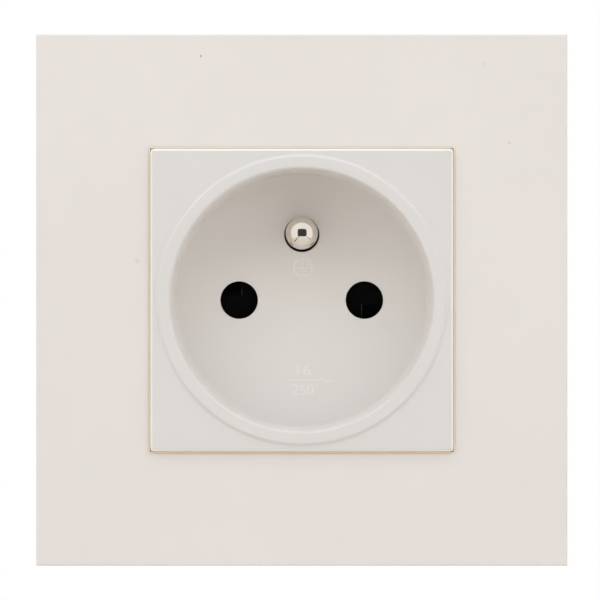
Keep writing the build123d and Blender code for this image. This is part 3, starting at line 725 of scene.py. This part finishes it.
@dataclass
class SocketInsert:
    """White moulding with the round well, and the raised marks on the well's floor.

    The earth sign's bars are given by length and by drop below its middle, as shares of its diameter
    and its radius. A mark's edge is rounded by its line's width over the edge ratio. The type is
    merged in its own units, before it is fitted.
    """

    floor_y: float = FLOOR_Y
    mark_height: float = 0.05 * MM
    mark_root: float = 0.05 * MM
    mark_smooth: float = math.radians(35)
    edge_ratio: float = 6.0
    edge_steps: int = 2
    sign_x: float = 0.16 * MM
    sign_z: float = 4.99 * MM
    sign_radius: float = 1.50 * MM
    sign_line: float = 0.26 * MM
    sign_steps: int = 48
    sign_bars: tuple[Span, ...] = ((0.84, 0.06), (0.50, 0.38), (0.20, 0.68))
    bar_share: float = 0.8
    rule_x: float = 0.14 * MM
    rule_z: float = -12.16 * MM
    rule_width: float = 4.10 * MM
    rule_line: float = 0.22 * MM
    digit_height: float = 1.58 * MM
    digit_weight: float = 0.004
    type_steps: int = 4
    type_merge: float = 0.0001
    figures: tuple[Figures, ...] = (
        Figures("16", 0.28 * MM, -10.60 * MM, 2.10 * MM, digit_height, digit_weight),
        Figures("250", rule_x, -13.60 * MM, 3.25 * MM, digit_height, digit_weight),
        Figures("~", 3.50 * MM, rule_z, 2.15 * MM, 0.55 * MM, -0.016),
    )
    finish: MouldedPlastic = MouldedPlastic(
        name="white_plastic",
        light=(0.758, 0.738, 0.728),
        dark=(0.744, 0.724, 0.714),
        roughness=(0.34, 0.44),
        # painted highlight: the colour painted on the insert's edge, standing in for light on it
        wear_fleck_and_highlight=(0.90, 0.88, 0.86),
        edge_wear_and_highlight=0.0,
        cloud_scale=60.0,
        grain_depth=0.006 * MM,
        edge_radius=0.28 * MM,
        # painted highlight on the edge outside this half side, and painted light in the well inside this
        # radius
        highlight_rim=22.14 * MM,
        well=19.60 * MM,
        well_painted_light=(0.872, 0.845, 0.820),
    )
    # painted light: the marks, moulded in the insert's own plastic, are painted lighter than the well's
    # floor, standing in for light on their raised tops
    marks: MouldedPlastic = MouldedPlastic(
        name="white_plastic_marks",
        light=(0.938, 0.915, 0.895),
        dark=(0.923, 0.900, 0.880),
        roughness=(0.34, 0.44),
        wear_fleck_and_highlight=(0.958, 0.938, 0.918),
        cloud_scale=600.0,
        grain_depth=0.004 * MM,
        edge_radius=0.03 * MM,
    )

    def build(self) -> Object:
        """Models the raised marks as one piece that stands on the well's floor.

        Returns:
            The piece, in place.
        """
        bm = bmesh.new()
        self.earth_sign(bm)
        self.bar(bm, self.rule_x, self.rule_z, self.rule_width, self.rule_line)
        for figures in self.figures:
            self.word(bm, figures)
        place = Matrix.Translation((0.0, self.floor_y, 0.0)) @ FACE_ROOM
        marks = finished("floor_marks", bm, place, self.mark_smooth)
        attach(marks, Body.SOCKET.value)
        return marks

    def earth_sign(self, bm: BMesh) -> None:
        """Adds the ring, the stem and the three bars of the earth sign.

        Args:
            bm: where they go.
        """
        sign = bmesh.new()
        inner = self.sign_radius - self.sign_line
        edge = self.sign_line / self.edge_ratio
        points = [
            (inner, -self.mark_root),
            (self.sign_radius, -self.mark_root),
            (self.sign_radius, self.mark_height - edge),
            (self.sign_radius - edge, self.mark_height),
            (inner + edge, self.mark_height),
            (inner, self.mark_height - edge),
        ]
        lathe(sign, points + points[:1], self.sign_steps)
        bmesh.ops.translate(sign, vec=(self.sign_x, self.sign_z, 0.0), verts=sign.verts)
        self.join(bm, sign)
        line = self.sign_line * self.bar_share
        stem = inner + self.sign_line / 2
        self.bar(bm, self.sign_x, self.sign_z + stem / 2, line, stem)
        for length, drop in self.sign_bars:
            z = self.sign_z - drop * self.sign_radius
            self.bar(bm, self.sign_x, z, 2 * self.sign_radius * length, line)

    def bar(self, bm: BMesh, x: float, z: float, width: float, height: float) -> None:
        """Adds a straight raised bar with rounded upper edges.

        Args:
            bm: where it goes.
            x: its middle across the well.
            z: its middle up the well.
            width: its size across.
            height: its size up.
        """
        bar = bmesh.new()
        bmesh.ops.create_cube(bar, size=1.0)
        bmesh.ops.scale(bar, vec=(width, height, self.mark_root + self.mark_height), verts=bar.verts)
        rise = (self.mark_height - self.mark_root) / 2
        bmesh.ops.translate(bar, vec=(x, z, rise), verts=bar.verts)
        top = [edge for edge in bar.edges if all(vert.co.z > rise for vert in edge.verts)]
        round_edges(bar, top, min(width, height) / self.edge_ratio, self.edge_steps)
        self.join(bm, bar)

    def word(self, bm: BMesh, figures: Figures) -> None:
        """Adds raised figures, fitted to their box.

        Args:
            bm: where they go.
            figures: what they are.
        """
        curve = bpy.data.curves.new("figures", "FONT")
        curve.body = figures.text
        curve.resolution_u = self.type_steps
        curve.extrude = 1.0
        curve.offset = figures.weight
        letters = bpy.data.objects.new("figures", curve)
        raised = bmesh.new()
        raised.from_mesh(letters.to_mesh())
        bmesh.ops.remove_doubles(raised, verts=raised.verts, dist=self.type_merge)
        xs = [vert.co.x for vert in raised.verts]
        ys = [vert.co.y for vert in raised.verts]
        middle = Vector((-(min(xs) + max(xs)) / 2, -(min(ys) + max(ys)) / 2, 0.0))
        bmesh.ops.translate(raised, vec=middle, verts=raised.verts)
        depth = (self.mark_height + self.mark_root) / 2
        fit = (figures.width / (max(xs) - min(xs)), figures.height / (max(ys) - min(ys)), depth)
        bmesh.ops.scale(raised, vec=fit, verts=raised.verts)
        rise = (self.mark_height - self.mark_root) / 2
        bmesh.ops.translate(raised, vec=(figures.x, figures.z, rise), verts=raised.verts)
        self.join(bm, raised)
        bpy.data.objects.remove(letters)
        bpy.data.curves.remove(curve)

    @staticmethod
    def join(bm: BMesh, part: BMesh) -> None:
        """Moves one modelled part into a larger shape.

        Args:
            bm: the larger shape.
            part: what goes into it; it is freed.
        """
        carried = bpy.data.meshes.new("part")
        part.to_mesh(carried)
        part.free()
        bm.from_mesh(carried)
        bpy.data.meshes.remove(carried)

    def dress(self, nodes: Nodes) -> None:
        """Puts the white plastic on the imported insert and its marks."""
        wear(nodes["socket_insert"], self.finish)
        wear(self.build(), self.marks)


@dataclass
class ShutterSpring:
    """Flat spiral strip that turns the rotor back, hooked in its boss and in the guide's sleeve."""

    front_y: float = 11.05 * MM
    back_y: float = 13.55 * MM
    strip: float = 0.30 * MM
    inner_radius: float = 3.85 * MM
    pitch: float = 0.50 * MM
    half_turns: int = 5
    half_turn_steps: int = 32
    inner_hook: float = 0.75 * MM
    outer_hook: float = 0.80 * MM
    held_x: float = -4.50 * MM
    turned_x: float = 2.90 * MM
    finish: SheetMetal = SheetMetal(
        name="spring_strip",
        bright=(0.50, 0.50, 0.52),
        tarnish=(0.33, 0.32, 0.36),
        roughness=(0.22, 0.36),
        grain=Grain.ALONG_X,
        edge_radius=0.04 * MM,
    )

    def build(self) -> Object:
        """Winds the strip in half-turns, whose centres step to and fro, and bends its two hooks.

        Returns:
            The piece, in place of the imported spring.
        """
        bm = rectangle(self.strip, self.back_y - self.front_y)
        bmesh.ops.rotate(bm, matrix=FACE_ROOM.to_3x3(), verts=bm.verts)
        bmesh.ops.translate(bm, vec=(self.inner_radius, 0.0, 0.0), verts=bm.verts)
        inner_end = list(bm.faces)[0]
        strip_end = [*bm.verts, *bm.edges]
        for turn in range(self.half_turns):
            centre = (turn % 2 * self.pitch / 2, 0.0, 0.0)
            strip_end = bmesh.ops.spin(
                bm, geom=strip_end, cent=centre, axis=UP, angle=math.pi, steps=self.half_turn_steps
            )["geom_last"]
        outer_end = bmesh.ops.contextual_create(bm, geom=only(BMVert, strip_end))["faces"][0]
        self.bend_hook(bm, inner_end, self.inner_hook)
        self.bend_hook(bm, outer_end, self.outer_hook)
        place = Matrix.Translation((0.0, (self.front_y + self.back_y) / 2, 0.0)) @ FACE_ROOM
        spring = finished("shutter_spring_wound", bm, place)
        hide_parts("shutter_spring")
        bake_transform(spring)
        return spring

    def bend_hook(self, bm: BMesh, end: BMFace, run: float) -> None:
        """Bends an end of the strip into a hook towards -X.

        Args:
            bm: the strip.
            end: the face at its end.
            run: how far the hook stands out of the strip.
        """
        for way in (Vector((0.0, -self.strip, 0.0)), Vector((-run, 0.0, 0.0))):
            cap = only(BMFace, pull(bm, [end], way))[0]
            beside = {face for edge in cap.edges for face in edge.link_faces}
            end = min(beside, key=lambda face: face.calc_center_median().x)


@dataclass
class Shutter:
    """Black rotor that closes the pin holes, its grey guide and its spring."""

    # painted highlight: the rotor's edges are painted much lighter, standing in for light catching them
    rotor: MouldedPlastic = MouldedPlastic(
        name="black_plastic",
        light=(0.0024, 0.0022, 0.0024),
        dark=(0.0016, 0.0015, 0.0016),
        roughness=(0.50, 0.65),
        wear_fleck_and_highlight=(0.16, 0.156, 0.152),
        edge_wear_and_highlight=0.8,
        grain_scale=3600.0,
        edge_radius=0.2 * MM,
        gloss=0.06,
    )
    guide: MouldedPlastic = MouldedPlastic(
        name="grey_plastic",
        light=(0.12, 0.12, 0.125),
        dark=(0.09, 0.09, 0.095),
        roughness=(0.40, 0.55),
        wear_fleck_and_highlight=(0.20, 0.20, 0.20),
        fleck=0.2,
    )
    spring: ShutterSpring = field(default_factory=ShutterSpring)

    def dress(self, nodes: Nodes) -> None:
        """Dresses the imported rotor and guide, and the wound spring.

        Args:
            nodes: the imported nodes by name.
        """
        wear(nodes["shutter_rotor"], self.rotor)
        wear(nodes["shutter_guide"], self.guide)
        wear(self.spring.build(), self.spring.finish)


@dataclass
class EarthContact:
    """Turned earth pin, spun finely for its mirror finish, and the strip to its terminal."""

    pin_z: float = 10.0 * MM
    tip_y: float = -8.35 * MM
    pin_radius: float = 2.40 * MM
    floor_y: float = FLOOR_Y
    neck_radius: float = 2.10 * MM
    base_radius: float = 2.80 * MM
    base_front_y: float = 15.15 * MM
    bar_front_y: float = 19.05 * MM
    bar_back_y: float = 19.75 * MM
    tenon_radius: float = 2.00 * MM
    rivet_radius: float = 2.70 * MM
    rivet_back_y: float = 20.25 * MM
    dome_steps: int = 24
    turn_steps: int = 128
    pin: TurnedMetal = TurnedMetal(
        name="polished_nickel",
        bright=(0.80, 0.745, 0.675),
        tarnish=(0.755, 0.695, 0.61),
        roughness=(0.06, 0.11),
        x=0.0,
        z=pin_z,
        ring_pitch=0.12 * MM,
        ring_depth=0.0012 * MM,
    )
    bar: SheetMetal = SheetMetal(
        name="earth_brass",
        bright=(0.76, 0.60, 0.32),
        tarnish=(0.58, 0.42, 0.20),
        roughness=(0.24, 0.40),
        grain=Grain.ALONG_Z,
    )

    def build(self) -> Object:
        """Turns the pin from its profile: the dome from its tip, then the steps behind it.

        Returns:
            The piece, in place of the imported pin.
        """
        # the pin's own frame has its axis on Z, and Z = -Y of the part
        centre = -self.tip_y - self.pin_radius
        turns = [math.radians(90) * step / self.dome_steps for step in range(self.dome_steps + 1)]
        dome = [
            (self.pin_radius * math.sin(turn), centre + self.pin_radius * math.cos(turn))
            for turn in turns
        ]
        steps = [
            (self.pin_radius, self.floor_y),
            (self.neck_radius, self.floor_y),
            (self.neck_radius, self.base_front_y),
            (self.base_radius, self.base_front_y),
            (self.base_radius, self.bar_front_y),
            (self.tenon_radius, self.bar_front_y),
            (self.tenon_radius, self.bar_back_y),
            (self.rivet_radius, self.bar_back_y),
            (self.rivet_radius, self.rivet_back_y),
            (0.0, self.rivet_back_y),
        ]
        bm = bmesh.new()
        lathe(bm, dome + [(radius, -y) for radius, y in steps], self.turn_steps)
        place = Matrix.Translation((0.0, 0.0, self.pin_z)) @ FACE_ROOM
        pin = finished("earth_pin_turned", bm, place)
        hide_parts("earth_pin")
        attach(pin, Body.SOCKET.value)
        return pin

    def dress(self, nodes: Nodes) -> None:
        """Plates the turned pin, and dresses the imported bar."""
        wear(self.build(), self.pin)
        wear(nodes["earth_bar"], self.bar)


@dataclass
class PinContacts:
    """Brass contacts and the steel clips that press their leaves together."""

    sides: tuple[str, ...] = ("live", "neutral")
    strip: SheetMetal = SheetMetal(
        name="contact_strip_brass",
        bright=(0.78, 0.61, 0.32),
        tarnish=(0.60, 0.43, 0.20),
        roughness=(0.22, 0.38),
        grain=Grain.ALONG_Y,
    )
    clip: SheetMetal = SheetMetal(
        name="clip_steel",
        bright=(0.56, 0.56, 0.57),
        tarnish=(0.40, 0.39, 0.40),
        roughness=(0.24, 0.38),
        grain=Grain.ALONG_Y,
        edge_radius=0.05 * MM,
    )

    def dress(self, nodes: Nodes) -> None:
        """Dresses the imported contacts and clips.

        Args:
            nodes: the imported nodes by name.
        """
        for side in self.sides:
            wear(nodes[f"{side}_contact"], self.strip)
            wear(nodes[f"{side}_grip_spring"], self.clip)


@dataclass
class RearHousing(SinglePart):
    """White moulded base that holds the contacts and terminals."""

    node: str = "rear_housing"
    finish: MouldedPlastic = MouldedPlastic(
        name="housing_plastic",
        light=(0.72, 0.70, 0.66),
        dark=(0.68, 0.655, 0.61),
        roughness=(0.40, 0.52),
        wear_fleck_and_highlight=(0.80, 0.79, 0.76),
        edge_wear_and_highlight=0.4,
        cloud_scale=90.0,
        edge_radius=0.2 * MM,
        fleck=0.12,
    )


@dataclass
class TerminalScrew:
    """Slotted screw with a cut thread, which takes the place of its plain solid.

    The thread's flank, and how deep its ridge is sunk in the shank, are shares of its pitch.
    """

    terminal: str
    x: float
    z: float
    seat_y: float = 22.95 * MM
    head_radius: float = 3.00 * MM
    head_height: float = 2.20 * MM
    head_edge: float = 0.22 * MM
    edge_steps: int = 3
    drive_width: float = 0.90 * MM
    drive_depth: float = 1.10 * MM
    thread_radius: float = 1.75 * MM
    root_radius: float = 1.42 * MM
    shank: float = 6.10 * MM
    tip_edge: float = 0.45 * MM
    pitch: float = 0.60 * MM
    flank_share: float = 0.46
    sunk_share: float = 0.125
    thread_turns: int = 9
    segments: int = 64
    thread_segments: int = 32

    def build(self) -> Object:
        """Models head, shank and thread.

        Returns:
            The piece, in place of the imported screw.
        """
        bm = bmesh.new()
        self.head(bm)
        self.core(bm)
        self.thread(bm)
        place = Matrix.Translation((self.x, self.seat_y, self.z)) @ FACE_WALL
        screw = finished(f"{self.terminal}_screw_threaded", bm, place)
        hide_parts(f"{self.terminal}_terminal_screw")
        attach(screw, Body.SOCKET.value)
        return screw

    def head(self, bm: BMesh) -> None:
        """Adds the cheese head: a disc cut in three, of which the outer two rise past the slot.

        Args:
            bm: where it goes.
        """
        half = self.drive_width / 2
        bmesh.ops.create_circle(bm, cap_ends=True, segments=self.segments, radius=self.head_radius)
        for side in (-half, half):
            disc = [*bm.verts, *bm.edges, *bm.faces]
            bmesh.ops.bisect_plane(
                bm, geom=disc, dist=MERGE, plane_co=(0.0, side, 0.0), plane_no=(0.0, 1.0, 0.0)
            )
        raised = bmesh.ops.extrude_face_region(bm, geom=list(bm.faces), use_keep_orig=True)["geom"]
        slot_floor = self.head_height - self.drive_depth
        bmesh.ops.translate(bm, vec=(0.0, 0.0, slot_floor), verts=only(BMVert, raised))
        cheeks = [face for face in only(BMFace, raised) if abs(face.calc_center_median().y) > half]
        pull(bm, cheeks, Vector((0.0, 0.0, self.drive_depth)))
        level = self.head_height - self.head_edge / 2
        upper = [edge for edge in bm.edges if all(vert.co.z > level for vert in edge.verts)]
        round_edges(bm, upper, self.head_edge, self.edge_steps)

    def core(self, bm: BMesh) -> None:
        """Adds the shank at the thread's root, from inside the head to its bevelled tip.

        Args:
            bm: where it goes.
        """
        points = [
            (0.0, self.head_edge),
            (self.root_radius, self.head_edge),
            (self.root_radius, self.tip_edge - self.shank),
            (self.root_radius - self.tip_edge, -self.shank),
            (0.0, -self.shank),
        ]
        lathe(bm, points, self.segments)

    def thread(self, bm: BMesh) -> None:
        """Adds the thread: a closed three-sided ridge, spun in a helix along the shank.

        Args:
            bm: where it goes.
        """
        inside = self.root_radius - self.pitch * self.sunk_share
        flank = self.pitch * self.flank_share
        start = self.tip_edge - self.shank
        section = ((inside, 0.0), (self.thread_radius, flank), (inside, 2 * flank))
        corners = [
            bmesh.ops.create_vert(bm, co=(radius, 0.0, start + height))["vert"][0]
            for radius, height in section
        ]
        first = bmesh.ops.contextual_create(bm, geom=corners)["faces"]
        ridge = bmesh.ops.spin(
            bm,
            geom=[*corners, *first[0].edges],
            axis=UP,
            dvec=(0.0, 0.0, self.pitch / self.thread_segments),
            angle=math.tau * self.thread_turns,
            steps=self.thread_segments * self.thread_turns,
        )
        bmesh.ops.contextual_create(bm, geom=only(BMVert, ridge["geom_last"]))


@dataclass
class Terminals:
    """Three screw terminals: threaded screws and steel saddles."""

    places: tuple[tuple[str, float, float], ...] = (
        ("live", 9.5 * MM, -14.9 * MM),
        ("neutral", -9.5 * MM, -14.9 * MM),
        ("earth", 0.0, 16.6 * MM),
    )
    ring_pitch: float = 0.22 * MM
    ring_depth: float = 0.003 * MM
    saddle: SheetMetal = SheetMetal(
        name="saddle_steel",
        bright=(0.62, 0.62, 0.61),
        tarnish=(0.46, 0.45, 0.42),
        roughness=(0.26, 0.42),
        grain=Grain.ALONG_X,
    )

    def dress(self, nodes: Nodes) -> None:
        """Builds and plates the screws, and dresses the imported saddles.

        Args:
            nodes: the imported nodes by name.
        """
        for terminal, x, z in self.places:
            plating = TurnedMetal(
                name=f"{terminal}_screw_zinc",
                bright=(0.70, 0.70, 0.70),
                tarnish=(0.52, 0.51, 0.48),
                roughness=(0.22, 0.34),
                x=x,
                z=z,
                ring_pitch=self.ring_pitch,
                ring_depth=self.ring_depth,
            )
            wear(TerminalScrew(terminal, x, z).build(), plating)
            wear(nodes[f"{terminal}_clamp_plate"], self.saddle)


@dataclass
class Studio:
    """Camera, light, white world, pale floor, and the dark opening that the pin mirrors."""

    camera_y: float = -0.708
    plate_front_y: float = -0.008
    frame_width: float = 0.0892
    image_pixels: float = 600.0
    centre_pixel: Span = (301.8, 300.1)
    sensor: float = 36.0
    tent_power: float = 6.78
    tent_colour: Colour = (0.997, 0.996, 1.0)
    lamp_place: Triple = (-0.02, -0.34, 0.42)
    lamp_side: float = 0.50
    lamp_power: float = 1.01
    lamp_colour: Colour = (0.951, 0.988, 1.0)
    floor_z: float = -0.12
    floor_side: float = 12.0
    floor_colour: Colour = (0.81, 0.76, 0.695)
    floor_roughness: float = 0.9
    floor_gloss: float = 0.1
    floor_near: Span = (0.16, 0.30)
    opening_y: float = -0.28
    opening_half: Span = (0.172, 0.160)
    opening_middle: Span = (0.016, 0.006)
    opening_tone: Colour = (0.065, 0.065, 0.068)
    seam_x: Span = (-0.105, 0.165)
    seam_width: float = 0.018
    seam_end_y: float = -0.015

    def set_up(self) -> None:
        """Builds the whole studio."""
        self.point_camera()
        self.light_world()
        self.hang_lamp()
        self.lay_floor()
        self.hang_opening()
        bpy.context.scene.view_settings.view_transform = "Standard"
        log.info("the studio stands")

    def point_camera(self) -> None:
        """Sets the camera square to the plate, with the photograph's framing."""
        camera = bpy.data.cameras.new("front_camera")
        distance = self.plate_front_y - self.camera_y
        camera.sensor_width = self.sensor
        camera.lens = self.sensor * distance / self.frame_width
        middle = self.image_pixels / 2
        camera.shift_x = (middle - self.centre_pixel[0]) / self.image_pixels
        camera.shift_y = (self.centre_pixel[1] - middle) / self.image_pixels
        stand = bpy.data.objects.new("front_camera", camera)
        stand.location = (0.0, self.camera_y, 0.0)
        stand.rotation_euler = (math.radians(90), 0.0, 0.0)
        bpy.context.scene.collection.objects.link(stand)
        bpy.context.scene.camera = stand

    def light_world(self) -> None:
        """Makes the world white where it is seen, and elsewhere a tent lit in a ring about each side."""
        world = bpy.data.worlds.new("white_world")
        bpy.context.scene.world = world
        world.use_nodes = True
        graph = ShaderGraph(world.node_tree)
        way = graph.node("TexCoord", {}).outputs["Generated"]
        across = graph.node("SeparateXYZ", {"Vector": way}).outputs["X"]
        sideways = graph.math("MULTIPLY", across, across)
        ring = graph.math("MULTIPLY", sideways, graph.math("SUBTRACT", 1.0, sideways))
        tent = graph.math("MULTIPLY", ring, self.tent_power)
        soft = graph.node("Background", {"Color": (*self.tent_colour, 1.0), "Strength": tent})
        white = graph.node("Background", {"Color": (*WHITE, 1.0), "Strength": 1.0})
        shown = graph.mixed(graph.seen(), soft.outputs[0], white.outputs[0])
        graph.node("OutputWorld", {"Surface": shown})

    def hang_lamp(self) -> None:
        """Hangs one large soft lamp above the socket and a little to its left."""
        lamp = bpy.data.lights.new("soft_lamp", "AREA")
        lamp.shape = "SQUARE"
        lamp.size = self.lamp_side
        lamp.energy = self.lamp_power
        lamp.color = self.lamp_colour
        hung = bpy.data.objects.new("soft_lamp", lamp)
        hung.location = self.lamp_place
        hung.rotation_euler = (-Vector(self.lamp_place)).to_track_quat("-Z", "Y").to_euler()
        hung.visible_glossy = False
        bpy.context.scene.collection.objects.link(hung)

    def sheet(self, name: str, size: Span, place: Matrix) -> Object:
        """A flat rectangle of the studio.

        Args:
            name: the object's name.
            size: its width and length.
            place: from the flat sheet, facing +Z, to where it goes.

        Returns:
            The object, marked as part of the stage.
        """
        sheet = finished(name, rectangle(*size), place)
        sheet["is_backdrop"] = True
        return sheet

    def lay_floor(self) -> None:
        """Lays the pale floor, which keeps its shadow near the socket and is white far away."""
        place = Matrix.Translation((0.0, 0.0, self.floor_z))
        floor = self.sheet("pale_floor", (self.floor_side, self.floor_side), place)
        graph = FinishGraph("pale_floor")
        graph.fix("Base Color", self.floor_colour)
        graph.fix("Roughness", self.floor_roughness)
        graph.fix("Specular IOR Level", self.floor_gloss)
        far = graph.spread(graph.measure("LENGTH", graph.place), self.floor_near, (0.0, 1.0))
        shown = graph.math("MULTIPLY", far, graph.seen())
        white = graph.node("Emission", {"Color": (*WHITE, 1.0), "Strength": 1.0})
        mixed = graph.mixed(shown, graph.shader.outputs[0], white.outputs[0])
        graph.links.new(mixed, graph.output.inputs["Surface"])
        floor.data.materials.append(graph.material)

    def hang_opening(self) -> None:
        """Hangs the dark opening in front, with the floor's two seams, for mirrors alone."""
        dark = FinishGraph("dark_opening")
        dark.fix("Base Color", self.opening_tone)
        dark.fix("Roughness", 1.0)
        dark.fix("Specular IOR Level", 0.0)
        middle = Matrix.Translation((self.opening_middle[0], self.opening_y, self.opening_middle[1]))
        size = (2 * self.opening_half[0], 2 * self.opening_half[1])
        shades = [self.sheet("dark_opening", size, middle @ FACE_WALL)]
        length = self.seam_end_y - self.opening_y
        seam_y = self.opening_y + length / 2
        seam_z = self.floor_z + self.seam_width / 2
        for side, x in zip(("left", "right"), self.seam_x):
            place = Matrix.Translation((x, seam_y, seam_z))
            shades.append(self.sheet(f"{side}_seam", (self.seam_width, length), place))
        for shade in shades:
            shade.data.materials.append(dark.material)
            shade.visible_camera = False
            shade.visible_diffuse = False
            shade.visible_shadow = False


def corners() -> list[list[float]]:
    """The lowest and highest corner of what is shown, as plain lists."""
    return [list(corner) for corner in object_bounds()]


def main() -> None:
    """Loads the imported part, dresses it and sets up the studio."""
    logging.basicConfig(level=logging.INFO, format="%(name)s: %(message)s")
    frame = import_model()
    nodes: Nodes = frame["nodes"]
    assemblies = (
        SurroundPlate(),
        PlateCarrier(),
        MountingBridge(),
        SocketInsert(),
        Shutter(),
        EarthContact(),
        PinContacts(),
        RearHousing(),
        Terminals(),
    )
    for assembly in assemblies:
        assembly.dress(nodes)
    Studio().set_up()


if __name__ == "__main__":
    main()
